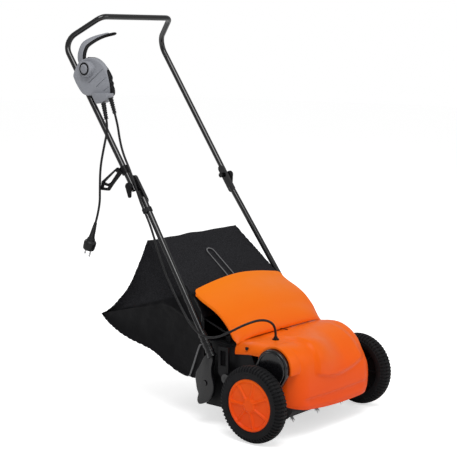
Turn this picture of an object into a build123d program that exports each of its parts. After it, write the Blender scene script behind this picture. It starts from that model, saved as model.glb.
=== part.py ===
from build123d import *
import math
import os

# Electric lawn rake (scarifier) with a rear collector bag.
# Millimetres. +Z up, the front faces -Y, the operator stands on the +Y side.
# The origin is on the ground, under the middle of the whole machine.

os.makedirs("parts", exist_ok=True)

# ---- driving dimensions ----
AXLE_Y = -314.0         # front wheel axle
WHEEL_R = 100.0
WHEEL_W = 45.0
WHEEL_X = 234.5         # middle of a wheel
AXLE_R = 6.0
RUN = 0.04              # radial running clearance of a shaft in its bore

MOTOR = (-344.0, 190.0)     # Y, Z of the motor shaft
REEL = (-285.0, 84.0)       # Y, Z of the reel shaft
ROLLER = (-186.0, 25.0)     # Y, Z of the rear roller
CARRIER = (-200.0, 140.0)   # Y, Z of the wheel carrier shaft
FLAP_PIN = (-222.0, 249.0)  # Y, Z of the flap hinge
BRACKET_PIN = (-134.0, 119.0)
JOINT = (141.5, 616.0)      # Y, Z of the bolt that joins upper and lower handle

REEL_TIP_R = 76.0
REEL_SHAFT_R = 8.0
MOTOR_R = 35.0
MOTOR_SHAFT_R = 4.0
MOTOR_PULLEY_R = 14.0
REEL_PULLEY_R = 30.0
BELT_T = 3.0
ROLLER_R = 25.0
CARRIER_SHAFT_R = 7.0
FLAP_PIN_R = 3.0

CHASSIS_X = 184.0       # half widths
HOOD_X = 190.0
FLAP_X = 184.0
BAG_X = 186.0
HOOD_T = 3.0
BAG_T = 3.0
COVER_X = 205.0         # outer face of the belt cover

TUBE_R = 8.0
TUBE_T = 1.2
UPPER_X = 195.0         # upper handle legs
CROSSBAR_X = 139.0
LOWER_X = 182.0         # lower tubes at the joint bolt
LOWER_SPLAY = 0.0665    # how far they move out for each mm down
LEG_SLOPE = 0.687       # how far a leg runs forward for each mm down
CORD_R = 3.2

SIDES = {"left": 1, "right": -1}    # as the operator sees them: left is +X


def keep(name, *solids):
    """Writes one node; several solids stay separate in it."""
    shape = solids[0] if len(solids) == 1 else Compound(children=list(solids))
    export_step(shape, f"parts/{name}.step")
    return shape


def along_x(sketch, x0, x1):
    """Extrudes a sketch drawn in (Y, Z) from x0 to x1."""
    return extrude(Plane(origin=(x0, 0, 0), x_dir=(0, 1, 0), z_dir=(1, 0, 0)) * sketch, x1 - x0)


def outline(points):
    return make_face(Polyline(*points, close=True))


def rod(x0, x1, centre, r, hole=0.0):
    """A cylinder along X about a (Y, Z) centre, with an optional bore."""
    disc = Pos(*centre) * Circle(r)
    if hole:
        disc -= Pos(*centre) * Circle(hole)
    return along_x(disc, x0, x1)


def capsule(a, ra, b, rb):
    """The hull of two circles, in (Y, Z)."""
    rings = [(Pos(*a) * Circle(ra)).edge(), (Pos(*b) * Circle(rb)).edge()]
    return make_hull(rings)


def box(x, y, z):
    """A box between pairs of limits."""
    size = (x[1] - x[0], y[1] - y[0], z[1] - z[0])
    middle = (sum(x) / 2, sum(y) / 2, sum(z) / 2)
    return Pos(*middle) * Box(*size)


def bar(a, b, r, hole=0.0):
    """A round bar between two points."""
    a, b = Vector(*a), Vector(*b)
    start = Plane(origin=a, z_dir=(b - a))
    disc = Circle(r) - Circle(hole) if hole else Circle(r)
    return extrude(start * disc, (b - a).length)


def mirrored(shape):
    return mirror(shape, Plane.YZ)


def plan_prism(half, front, corner, z0, z1):
    """A plan outline with rounded front corners, as a tall prism."""
    deep = 400.0
    sketch = Pos(0, front + deep / 2) * Rectangle(2 * half, deep)
    sketch = fillet(sketch.vertices().sort_by(Axis.Y)[:2], corner)
    return extrude(Plane.XY.offset(z0) * sketch, z1 - z0)


# ---- chassis ----
def chassis():
    outer = along_x(outline([
        (-372, 58), (-382, 76), (-380, 126), (-277, 184), (-262, 218), (-214, 224),
        (-150, 228), (-112, 225), (-112, 52), (-209, 52), (-213, 58)]), -CHASSIS_X, CHASSIS_X)
    outer &= plan_prism(CHASSIS_X, -398, 64, 0, 300)
    inner = along_x(outline([
        (-368, 40), (-378, 77), (-376, 124), (-274.5, 181), (-259, 214.6), (-213, 220.4),
        (-150, 224.4), (-100, 221.4), (-100, 56), (-205, 56), (-207, 40)]), -180, 180)
    inner &= plan_prism(180, -394, 60, 0, 300)
    body = outer - inner
    for side in SIDES.values():
        # roller bracket, reel bearing boss, carrier boss, bracket boss and bag ear
        hanger = along_x(outline([(-200, 53), (-200, 20), (-192, 12), (-180, 12), (-172, 20), (-172, 53)]), 150, 154)
        boss = rod(172, 181, REEL, 19)
        pivot = rod(183, 201.5, BRACKET_PIN, 12)
        ear = along_x(outline([(-184, 222), (-184, 254), (-180, 258), (-172, 258), (-168, 254), (-168, 222)]), 166, 170)
        peg = rod(170, 180, (-176, 250), 3)
        lamp = hanger + boss + pivot + ear + peg
        body += lamp if side > 0 else mirrored(lamp)
    body += along_x(capsule(MOTOR, 41, REEL, 36), -184, -180)
    body -= rod(-190, 190, REEL, 14)
    body -= rod(-190, 190, CARRIER, CARRIER_SHAFT_R + RUN)
    body -= rod(-160, 160, ROLLER, 5)
    body -= rod(-210, 210, BRACKET_PIN, 4)
    body -= rod(-190, -170, MOTOR, 12)
    return keep("chassis", body)


# ---- front hood ----
HOOD_LINE = [(-212, 236.5), (-240, 240.5), (-265, 242), (-290, 240), (-312, 234), (-335, 221),
             (-356, 204), (-375, 182), (-389.5, 164.5), (-400, 145), (-404, 104), (-402, 60)]
BULGE_R = 53.0          # the hood's swell around the motor


def hood_solid(inset):
    """The hood as a full block, moved in by inset: its long profile with rounded plan corners, and the motor swell."""
    block = along_x(outline(HOOD_LINE + [(-402, 20), (-212, 20)]), -HOOD_X + inset, HOOD_X - inset)
    block = Pos(0, inset, -inset) * block
    block &= plan_prism(HOOD_X - inset, -404 + inset, 70 - inset, 0, 300)
    top = Pos(0, 121 - inset / 2) * Rectangle(2 * (HOOD_X - inset), 242 - inset)
    top = fillet(top.vertices().sort_by(Axis.Y)[-2:], 24 - inset)
    face = Plane(origin=(0, -200, 0), x_dir=(1, 0, 0), z_dir=(0, -1, 0)) * top
    block &= extrude(face, 220)
    swell = rod(-HOOD_X + 1, 110 - inset, MOTOR, BULGE_R - inset) & box((-200, 200), (-420, -250), (150, 300))
    return block + swell


def front_hood():
    shell = hood_solid(0) - hood_solid(HOOD_T)
    shell -= along_x(capsule(MOTOR, 49, REEL, 43), -195, -146)
    shell -= box((-200, 200), (-420, -200), (0, 60))
    side_cut = outline([(-330, 0), (-330, 209), (-205, 222), (-205, 0)])
    shell -= along_x(side_cut, -200, 200)
    shell -= box((-200, 200), (-212.01, -190), (0, 300))
    for x0 in (103, 132):
        lug = capsule(FLAP_PIN, 5.5, (-222, 236), 5.5)
        for ear in (along_x(lug, x0, x0 + 5), along_x(lug, -x0 - 5, -x0)):
            shell += ear - hood_solid(HOOD_T)
    shell -= rod(-160, 160, FLAP_PIN, FLAP_PIN_R)
    shell -= Pos(*GLAND) * Cylinder(7, 30)
    for y, z in SIDE_SCREWS:
        shell -= rod(-200, 200, (y, z), 2)
    return keep("front_hood", shell)


GLAND = (-120.0, -294.0, 238.0)
SIDE_SCREWS = [(-256.0, 226.0)]


def hood_screws():
    """One countersunk screw each side, through the hood's side wall into the chassis rim."""
    screws = []
    for y, z in SIDE_SCREWS:
        for side in (1, -1):
            head = rod(HOOD_X, HOOD_X + 2, (y, z), 4.5) + rod(HOOD_X - 12, HOOD_X, (y, z), 2)
            screws.append(head if side > 0 else mirrored(head))
    return keep("hood_screws", *screws)


# ---- rear flap, its pin and its spring ----
FLAP_SIDE = [(-221, 232), (-210, 240), (-201, 253), (-191, 269.5), (-180, 282), (-160, 300.5), (-135, 316),
             (-102, 331), (-84, 341), (-69, 353)]
FLAP_MIDDLE = [(-228, 246), (-221, 257), (-212, 270), (-199, 286), (-183, 300), (-160, 320), (-135, 336),
               (-103, 352), (-84, 362), (-67, 374.5)]


def flap_face(points, x):
    """A closed side view of the flap, from its outer line down to a floor well below it."""
    curve = Spline(*points)
    floor = Polyline(points[-1], (points[-1][0] + 30, 190), (points[0][0], 190), points[0])
    return Plane(origin=(x, 0, 0), x_dir=(0, 1, 0), z_dir=(1, 0, 0)) * make_face(curve + floor)


def flap_solid(inset):
    side = [(y + inset, z - inset * 0.6) for y, z in FLAP_SIDE]
    middle = [(y + inset, z - inset * 0.6) for y, z in FLAP_MIDDLE]
    half = FLAP_X - inset
    return loft([flap_face(side, -half), flap_face(middle, 0), flap_face(side, half)])


def rear_flap():
    shell = flap_solid(0) - flap_solid(3)
    open_side = [(y + 2, z - 9) for y, z in FLAP_SIDE if z > 255]
    shell -= along_x(outline(open_side + [(-30, 360), (-30, 150), (-240, 150), (-240, 243), (-208, 243)]), -200, 200)
    shell -= box((-200, 200), (-67, -20), (100, 400))
    for side in (1, -1):
        knuckle = rod(111, 129, FLAP_PIN, 5.5) + box((111, 129), (-227, -206), (249, 262))
        shell += knuckle if side > 0 else mirrored(knuckle)
        relief = box((101, 139), (-240, -214), (230, 258))
        cut = relief - rod(111, 129, FLAP_PIN, 5.6) - box((111, 129), (-227, -206), (249, 262))
        shell -= cut if side > 0 else mirrored(cut)
    shell -= rod(-160, 160, FLAP_PIN, FLAP_PIN_R + RUN)
    shell -= box((-20, 20), (-240, -215), (230, 258))
    return keep("rear_flap", shell)


def flap_hinge_pin():
    return keep("flap_hinge_pin", rod(-140, 140, FLAP_PIN, FLAP_PIN_R))


def flap_spring():
    """The torsion spring, plain: a wound sleeve with one leg on the hood."""
    sleeve = rod(-16, 16, FLAP_PIN, 4.6, FLAP_PIN_R + 0.2)
    leg = box((-16, -14), (-252, -222), (243.6, 245.2))
    return keep("flap_spring", sleeve + leg)


# ---- motor and belt drive ----
def motor_housing():
    can = rod(-176, -72, MOTOR, MOTOR_R) - rod(-173, -75, MOTOR, MOTOR_R - 3)
    can += rod(-180, -176, MOTOR, 37)
    can += rod(-160, -92, MOTOR, 33, 24.8)
    can -= rod(-190, -60, MOTOR, MOTOR_SHAFT_R + RUN)
    return keep("motor_housing", can)


def rotor():
    keep("motor_shaft", rod(-200, -58, MOTOR, MOTOR_SHAFT_R))
    keep("armature", rod(-160, -92, MOTOR, 24, MOTOR_SHAFT_R) + rod(-91.5, -80, MOTOR, 12, MOTOR_SHAFT_R)
         + rod(-92.5, -91, MOTOR, 10, MOTOR_SHAFT_R))
    fan = rod(-68, -66, MOTOR, 30, MOTOR_SHAFT_R) + rod(-66, -60, MOTOR, 8, MOTOR_SHAFT_R)
    for k in range(8):
        blade = box((-66, -61), (MOTOR[0] + 9, MOTOR[0] + 29), (MOTOR[1] - 0.8, MOTOR[1] + 0.8))
        fan += blade.rotate(Axis((0, *MOTOR), (1, 0, 0)), 45 * k)
    keep("cooling_fan", fan)
    keep("motor_pulley", pulley(MOTOR, MOTOR_PULLEY_R, MOTOR_SHAFT_R))


def pulley(centre, r, bore):
    """A flanged belt pulley between the chassis wall and the cover."""
    wheel = rod(-199, -189, centre, r, bore)
    for x in (-200, -189):
        wheel += rod(x, x + 1, centre, r + 2.5, bore)
    return wheel


def drive_belt():
    gap = 0.15
    loop = capsule(MOTOR, MOTOR_PULLEY_R + gap + BELT_T, REEL, REEL_PULLEY_R + gap + BELT_T)
    loop -= capsule(MOTOR, MOTOR_PULLEY_R + gap, REEL, REEL_PULLEY_R + gap)
    return keep("drive_belt", along_x(loop, -198.5, -190.5))


def belt_cover():
    cup = along_x(capsule(MOTOR, 48, REEL, 42), -201, -185.5)
    cup += rod(-186, -150, MOTOR, 48) & box((-190, -140), (-420, -280), (177, 260))
    cup += along_x(capsule(MOTOR, 43, REEL, 37), -COVER_X, -201)
    cup -= along_x(capsule(MOTOR, 45.5, REEL, 39.5), -200.6, -180)
    cup -= rod(-190, -140, MOTOR, 45.5)
    cup -= rod(-206, -203.5, MOTOR, 38)
    return keep("belt_cover", cup)


# ---- reel ----
def reel():
    keep("reel_shaft", rod(-200.2, 186, REEL, REEL_SHAFT_R))
    keep("reel_pulley", pulley(REEL, REEL_PULLEY_R, REEL_SHAFT_R))
    count, pitch, thick = 12, 27.0, 2.0
    first = -pitch * (count - 1) / 2
    blades, spacers = [], []
    star = [(REEL_TIP_R, 0), (26, 9), (9, 26), (0, REEL_TIP_R), (-9, 26), (-26, 9),
            (-REEL_TIP_R, 0), (-26, -9), (-9, -26), (0, -REEL_TIP_R), (9, -26), (26, -9)]
    for k in range(count):
        x = first + k * pitch
        face = Pos(*REEL) * (Rot(0, 0, 22.5 * (k % 4)) * (outline(star) - Circle(REEL_SHAFT_R)))
        blades.append(along_x(face, x - thick / 2, x + thick / 2))
        if k:
            spacers.append(rod(x - pitch + thick / 2, x - thick / 2, REEL, 13, REEL_SHAFT_R))
    for side in (1, -1):
        end = rod(-first + thick / 2, 170, REEL, 13, REEL_SHAFT_R)
        spacers.append(end if side > 0 else mirrored(end))
    keep("reel_blades", *blades)
    keep("reel_spacers", *spacers)
    for name, side in SIDES.items():
        ring = rod(174, 184, REEL, 14, REEL_SHAFT_R + RUN)
        keep(f"reel_bearing_{name}", ring if side > 0 else mirrored(ring))


# ---- rear roller ----
def rear_roller():
    keep("roller_axle", rod(-156, 156, ROLLER, 5))
    keep("rear_roller", rod(-146, 146, ROLLER, ROLLER_R, 5 + RUN))


# ---- wheel carrier: shaft, arms, stub axles and height lever ----
def wheel_carrier():
    hub = (AXLE_Y, WHEEL_R)
    keep("carrier_shaft", rod(-211, 211, CARRIER, CARRIER_SHAFT_R))
    for name, side in SIDES.items():
        arm = along_x(capsule(CARRIER, 13, hub, 15), 207, 211)
        arm -= rod(200, 220, CARRIER, CARRIER_SHAFT_R) + rod(200, 220, hub, AXLE_R)
        stub = rod(207, 247, hub, AXLE_R) + rod(247, 249, hub, 9)
        keep(f"carrier_arm_{name}", arm if side > 0 else mirrored(arm))
        keep(f"stub_axle_{name}", stub if side > 0 else mirrored(stub))
    blade = outline([(-211, 134), (-206, 154), (-206, 222), (-172, 222), (-172, 152), (-189, 134)])
    lever = along_x(blade, -206, -200)
    lever -= along_x(Pos(-189, 192) * Rectangle(18, 40), -210, -195)
    lever -= rod(-210, -195, CARRIER, CARRIER_SHAFT_R)
    keep("height_lever", lever)


# ---- wheels ----
def wheel(name, side):
    hub = (AXLE_Y, WHEEL_R)
    inner, outer = WHEEL_X - WHEEL_W / 2, WHEEL_X + WHEEL_W / 2
    # section in (radius, X): a crowned tread with rounded shoulders
    section = make_face(Polyline(
        (72, inner + 3), (88, inner), (96, inner + 3), (WHEEL_R, inner + 10), (WHEEL_R, outer - 10),
        (96, outer - 3), (88, outer), (72, outer - 3), close=True))
    radial = Plane(origin=(0, *hub), x_dir=(0, 1, 0), z_dir=(0, 0, -1))
    ring = revolve(radial * section, Axis((0, *hub), (1, 0, 0)))
    rim = rod(inner + 4, outer - 5, hub, 72, 67) + rod(231, 234, hub, 68) + rod(213, 246, hub, 15)
    for k in range(8):
        rib = box((222, 231.5), (hub[0] + 14, hub[0] + 68), (hub[1] - 1.5, hub[1] + 1.5))
        rim += rib.rotate(Axis((0, *hub), (1, 0, 0)), 45 * k)
    rim -= rod(200, 260, hub, AXLE_R + RUN)
    cap = rod(252.5, 255.5, hub, 70) + rod(252, 253, hub, 70, 67.5)
    shapes = {"tyre": ring, "rim": rim, "hub_cap": cap}
    for part, shape in shapes.items():
        keep(f"{part}_{name}", shape if side > 0 else mirrored(shape))


# ---- collector bag ----
BAG_OUTER = [(98, 470), (-70, 338), (-98, 300), (-104, 240), (-104, 118), (-56, 112), (-8, 125), (40, 146),
             (94, 170), (173, 187), (220, 203), (279, 246), (247, 262), (212, 290), (171, 334), (144, 378), (117, 429)]
BAG_INNER = [(97, 465), (-68, 335.5), (-95, 299), (-110, 240), (-110, 121), (-56, 115), (-8, 128.2), (40, 149.2),
             (94, 173), (172, 190), (218, 206), (273, 246), (245, 259), (209.5, 288), (168.5, 332.5), (141, 377), (114, 428)]


def bag():
    shell = along_x(outline(BAG_OUTER), -BAG_X, BAG_X)
    shell -= along_x(outline(BAG_INNER), -BAG_X + BAG_T, BAG_X - BAG_T)
    shell -= box((-179, 179), (-110, -96), (121, 292))
    keep("bag", shell)
    strap = along_x(outline([(-20, 378.2), (60, 441.2), (60, 444.2), (-20, 381.4)]), -14, 14)
    keep("bag_strap", strap)


def bag_frame():
    """A wire frame inside the mouth, with two arms that end in hooks."""
    r = 3.0
    corners = [(176, -66, 330), (176, -92, 296), (176, -92, 126), (176, -58, 121)]
    frame = bar((-176, *corners[0][1:]), corners[0], r)
    frame += bar((-176, *corners[3][1:]), corners[3], r)
    for a, b in zip(corners, corners[1:]):
        side = bar(a, b, r) + Pos(*a) * Sphere(r) + Pos(*b) * Sphere(r)
        frame += side + mirrored(side)
    keep("bag_frame", frame)
    hook = along_x(Pos(-176, 250) * (Circle(6.5) - Circle(3.4)), 171, 178)
    hook -= Pos(174.5, -176 - 5.0, 250 - 4.4) * Rot(-45, 0, 0) * Box(20, 9, 12)
    arm = bar((174.5, -92, 281), (174.5, -171, 253.2), 2.5)
    arm -= rod(160, 190, (-176, 250), 3.4)
    hook += arm
    hook -= bar(corners[1], corners[2], r)
    keep("bag_hooks", hook, mirrored(hook))


# ---- lower handle ----
def lower_axis(z, side):
    """A point on a lower tube's axis."""
    drop = JOINT[1] - z
    return (side * (LOWER_X + LOWER_SPLAY * drop), JOINT[0] - 5.9 - LEG_SLOPE * drop, z)


def lower_handle():
    for name, side in SIDES.items():
        flat_low, flat_high, foot = lower_axis(578, 1), lower_axis(634, 1), lower_axis(196, 1)
        tube = bar(foot, lower_axis(560, 1), TUBE_R, TUBE_R - TUBE_T) + bar(lower_axis(560, 1), lower_axis(584, 1), TUBE_R)
        blade = along_x(capsule(flat_low[1:], 10, flat_high[1:], 10), 177.4, UPPER_X - TUBE_R - 0.15)
        tube += blade
        tube -= rod(150, 220, JOINT, 4)
        keep(f"lower_tube_{name}", tube if side > 0 else mirrored(tube))
        low, high = lower_axis(191, 1), lower_axis(252, 1)
        socket = bar(low, high, 12) - bar(foot, lower_axis(260, 1), TUBE_R)
        leaf = outline([(-102, 113), (-102, 136), (-120, 170), (-135, 196), (-160, 200), (-162, 185), (-158, 152),
                        (-163, 100), (-135, 67), (-113, 58), (-106, 73)])
        plate = along_x(leaf, 202, 216) - bar(foot, lower_axis(260, 1), TUBE_R)
        bracket = socket + plate - rod(195, 225, BRACKET_PIN, 4)
        keep(f"handle_bracket_{name}", bracket if side > 0 else mirrored(bracket))
    pins = []
    for side in (1, -1):
        pin = rod(176, 216, BRACKET_PIN, 4) + rod(216, 219.5, BRACKET_PIN, 8) + rod(176, 180, BRACKET_PIN, 7)
        pins.append(pin if side > 0 else mirrored(pin))
    keep("bracket_bolts", *pins)
    bolts = []
    for side in (1, -1):
        bolt = rod(172.5, 208, JOINT, 4) + rod(169, 172.5, JOINT, 7)
        bolts.append(bolt if side > 0 else mirrored(bolt))
    keep("joint_bolts", *bolts)


# ---- upper handle ----
LEG_END = (-UPPER_X, 135.0, 604.0)
BEND_A = (-UPPER_X, 409.0, 1003.0)
BEND_B = (-CROSSBAR_X, 312.0, 1072.0)
BEND_A_R = 42.0
BEND_B_R = 30.0


def handle_sweep(section):
    points = [LEG_END, BEND_A, BEND_B]
    points += [(-x, y, z) for x, y, z in reversed(points)]
    path = FilletPolyline(*points, radius=[BEND_A_R, BEND_B_R, BEND_B_R, BEND_A_R])
    return sweep(Plane(origin=path @ 0, z_dir=path % 0) * section, path=path)


def upper_handle():
    tube = handle_sweep(Circle(TUBE_R) - Circle(TUBE_R - TUBE_T))
    tube -= rod(-220, 220, JOINT, 4 + RUN)
    keep("upper_handle_tube", tube)


def knobs():
    for name, side in SIDES.items():
        hub = rod(203.6, 208, JOINT, 9, 4 + RUN) + rod(208, 216, JOINT, 9)
        drop = along_x(capsule(JOINT, 9, (JOINT[0] - 4, JOINT[1] - 26), 4.5), 208.5, 215)
        knob = hub + drop
        keep(f"joint_knob_{name}", knob if side > 0 else mirrored(knob))


# ---- switch box ----
BOSS = (297.0, 929.0)       # Y, Z of the lever pivot
BOX_OUTLINE = [(289, 961), (242, 962), (204, 949), (180, 917), (184, 862), (202, 853), (262, 862),
               (318, 866), (346, 898), (337, 932)]


def switch_box():
    front = along_x(outline(BOX_OUTLINE), -222, -196)
    front -= along_x(offset(outline(BOX_OUTLINE), -2.5), -219.5, -190)
    front += along_x(outline([(262, 862), (204, 854), (226, 834), (246, 836)]), -218, -204)
    back = along_x(outline(BOX_OUTLINE), -196, -176)
    back -= along_x(offset(outline(BOX_OUTLINE), -2.5), -200, -178.5)
    leg = handle_sweep(Circle(TUBE_R))
    front -= leg
    back -= leg
    for sleeve in sleeves():
        front -= sleeve
    front -= rod(-230, -210, BOSS, 13.2)
    back -= box((-200, -190), (238, 392), (936, 1000))
    front -= box((-200, -190), (238, 392), (936, 1000))
    keep("switch_box_front", front)
    keep("switch_box_back", back)
    block = box((-214, -200), (214, 250), (875, 905))
    keep("microswitch", block)


def lever_and_button():
    # the half bail follows the tube's bend and ends under the crossbar
    route = [(-195, 297, 929), (-195, 336, 962), (-184, 345, 1000), (-150, 326, 1022), (-104, 292, 1034)]
    path = FilletPolyline(*route, radius=[22, 24, 24])
    start = Plane(origin=path @ 0, x_dir=(1, 0, 0), z_dir=path % 0)
    blade = sweep(start * Rectangle(7, 16), path=path, transition=Transition.RIGHT)
    blade += rod(-198.5, -191.5, BOSS, 13)
    keep("switch_lever", blade)
    keep("lock_button", rod(-229, -214.5, BOSS, 13))


def sleeves():
    """The two tapered sleeves under the switch box: mains lead, motor lead."""
    mains = cone((-205, 241, 836), (-210, 226, 795), 6.0, 3.9)
    motor = cone((-204, 214, 852), (-200, 203, 810), 6.0, 3.9)
    return [mains, motor]


def strain_reliefs():
    keep("strain_reliefs", *sleeves())


def cone(a, b, ra, rb):
    """A tapered sleeve between two points, wide end first."""
    a, b = Vector(*a), Vector(*b)
    faces = [Plane(origin=a, z_dir=b - a) * Circle(ra), Plane(origin=b, z_dir=b - a) * Circle(rb)]
    return loft(faces)


def cable_hook():
    grip = bar((-UPPER_X, 166, 647.9), (-UPPER_X, 178, 665.4), 11.5) - bar(LEG_END, BEND_A, TUBE_R)
    loop = outline([(170, 652), (188, 664), (248, 622), (252, 598), (222, 598), (206, 616)])
    loop -= outline([(187, 650), (196, 655), (240, 620), (226, 616), (212, 622)])
    loop -= outline([(243, 613), (245, 605), (226, 605), (221, 610)])
    loop = along_x(loop, -210, -203.2)
    keep("cable_hook", grip + loop)


# ---- cords ----
def cord(name, route, radii):
    """A tube of straight runs and tangent arcs."""
    path = FilletPolyline(*route, radius=radii)
    tube = sweep(Plane(origin=path @ 0, z_dir=path % 0) * Circle(CORD_R), path=path)
    ideal = math.pi * CORD_R ** 2 * path.length
    print(f"{name}: length {path.length:.0f} mm, volume {tube.volume / ideal:.3f} of its section times its length")
    keep(name, tube)


def corner_radii(route):
    """0.45 of the shorter run over the tangent of half the turn, for each corner."""
    radii = []
    for a, b, c in zip(route, route[1:], route[2:]):
        before, after = Vector(*b) - Vector(*a), Vector(*c) - Vector(*b)
        half_turn = math.radians(before.get_angle(after)) / 2
        radii.append(0.45 * min(before.length, after.length) / math.tan(half_turn))
    return radii


MAINS_ROUTE = [
    (-210, 225.9, 794.8), (-213, 217.1, 770.7), (-215, 230, 722), (-215.5, 246, 664), (-215, 250, 606),
    (-212, 253.8, 551.6), (-212, 271.9, 505.3)]
LEAD_UPPER_ROUTE = [
    (-200, 202.9, 809.8), (-197.2, 195.4, 781.1), (-196.5, 189, 740), (-196.5, 176, 701), (-197.5, 152, 662),
    (-200, 132, 627), (-199.5, 119, 597), (-196.3, 109.4, 569), (-197.48, 97.2, 551.3)]
LEAD_LOOP_ROUTE = [
    (-197.5, 97, 551), (-199.5, 76.4, 521), (-203, 56, 482), (-207, 32, 436), (-210, 6, 388), (-213, -26, 343),
    (-218, -60, 303), (-224, -96, 267), (-229, -140, 246), (-229, -186, 250), (-224, -226, 270),
    (-204, -260, 292), (-170, -282, 302), (-140, -292, 294), (-120, -294, 274), (-120, -294, 251)]


def cords():
    for name, route in (("mains_cord", MAINS_ROUTE), ("motor_lead_upper", LEAD_UPPER_ROUTE),
                        ("motor_lead_loop", LEAD_LOOP_ROUTE)):
        radii = corner_radii(route)
        print(name, "radii", [round(r) for r in radii])
        cord(name, route, radii)


def plug():
    top, neck = Vector(-212, 272, 505), Vector(-212, 290, 459)
    low, face = Vector(-212, 295, 446.5), Vector(-212, 303, 426)
    down = Plane(origin=neck, z_dir=face - top)
    body = cone(top, neck, 4.2, 8.5)
    body += extrude(down * Circle(11), 14)
    tail = Plane(origin=low, z_dir=face - top)
    body += extrude(tail * Circle(17.5), 20)
    keep("plug", body)
    end = low + (face - top).normalized() * 20
    flat = Plane(origin=end, x_dir=(0, 0.9, 0.35), z_dir=face - top)
    pins = [extrude(flat * (Pos(dx, 0) * Circle(2.4)), 19) for dx in (-9.5, 9.5)]
    keep("plug_pins", *pins)


def gland():
    sleeve = Pos(-120, -294, 238) * Cylinder(6.9, 8) + Pos(-120, -294, 243.5) * Cylinder(9, 3)
    sleeve += Pos(-120, -294, 248) * Cone(6.5, 4.4, 6)
    keep("cable_gland", sleeve)


def cable_clip():
    """Two joined rings: one on the lower tube, one around the lead where its two parts meet."""
    meet, after = Vector(*LEAD_LOOP_ROUTE[0]), Vector(*LEAD_LOOP_ROUTE[1])
    down = (after - meet).normalized()
    grip = Plane(origin=meet, x_dir=(1, 0, 0), z_dir=down)
    tube_at = grip.to_local_coords(Vector(*lower_axis(548, -1)))
    around_tube, around_lead = Pos(tube_at.X, tube_at.Y), Pos(0, 0)
    plate = make_hull([(around_tube * Circle(10.5)).edge(), (around_lead * Circle(5.4)).edge()])
    plate -= around_tube * Circle(TUBE_R + 0.1) + around_lead * Circle(CORD_R + 0.05)
    keep("cable_clip", extrude(grip * plate, 6, both=True))


def main():
    chassis()
    front_hood()
    hood_screws()
    rear_flap()
    flap_hinge_pin()
    flap_spring()
    motor_housing()
    rotor()
    drive_belt()
    belt_cover()
    reel()
    rear_roller()
    wheel_carrier()
    for name, side in SIDES.items():
        wheel(name, side)
    bag()
    bag_frame()
    lower_handle()
    upper_handle()
    knobs()
    switch_box()
    lever_and_button()
    strain_reliefs()
    cable_hook()
    cords()
    plug()
    gland()
    cable_clip()


main()
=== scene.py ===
import math

import bpy
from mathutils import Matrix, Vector, noise


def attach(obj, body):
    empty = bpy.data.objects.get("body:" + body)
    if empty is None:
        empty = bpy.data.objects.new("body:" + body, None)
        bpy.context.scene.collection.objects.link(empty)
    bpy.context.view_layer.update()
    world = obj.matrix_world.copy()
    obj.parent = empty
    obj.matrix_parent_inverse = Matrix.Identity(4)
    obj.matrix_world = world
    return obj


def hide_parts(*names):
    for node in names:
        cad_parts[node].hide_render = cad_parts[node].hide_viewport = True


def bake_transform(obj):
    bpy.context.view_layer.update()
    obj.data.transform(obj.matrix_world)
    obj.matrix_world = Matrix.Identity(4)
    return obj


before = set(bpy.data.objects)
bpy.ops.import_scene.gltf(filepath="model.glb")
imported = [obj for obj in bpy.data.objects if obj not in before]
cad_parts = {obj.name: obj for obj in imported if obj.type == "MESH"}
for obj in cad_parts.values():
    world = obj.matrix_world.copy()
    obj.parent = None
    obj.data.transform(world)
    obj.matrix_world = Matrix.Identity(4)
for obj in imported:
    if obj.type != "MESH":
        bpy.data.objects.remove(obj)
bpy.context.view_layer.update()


# ---- camera, floor and light ----
def make_camera():
    pitch, turn = math.radians(8.4185), 0.86755
    forward = Vector((math.sin(turn) * math.cos(pitch), math.cos(turn) * math.cos(pitch), -math.sin(pitch)))
    data = bpy.data.cameras.new("camera")
    data.sensor_width = 36.0
    data.lens = 98.9
    data.clip_end = 50.0
    camera = bpy.data.objects.new("camera", data)
    camera.location = (-2.6097, -2.2455, 1.0002)
    camera.rotation_euler = forward.to_track_quat("-Z", "Y").to_euler()
    bpy.context.scene.collection.objects.link(camera)
    bpy.context.scene.camera = camera


def area_light(name, place, aim, size, power):
    data = bpy.data.lights.new(name, "AREA")
    data.size = size
    data.energy = power
    light = bpy.data.objects.new(name, data)
    light.location = place
    light.rotation_euler = (Vector(aim) - Vector(place)).to_track_quat("-Z", "Y").to_euler()
    bpy.context.scene.collection.objects.link(light)


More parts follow.
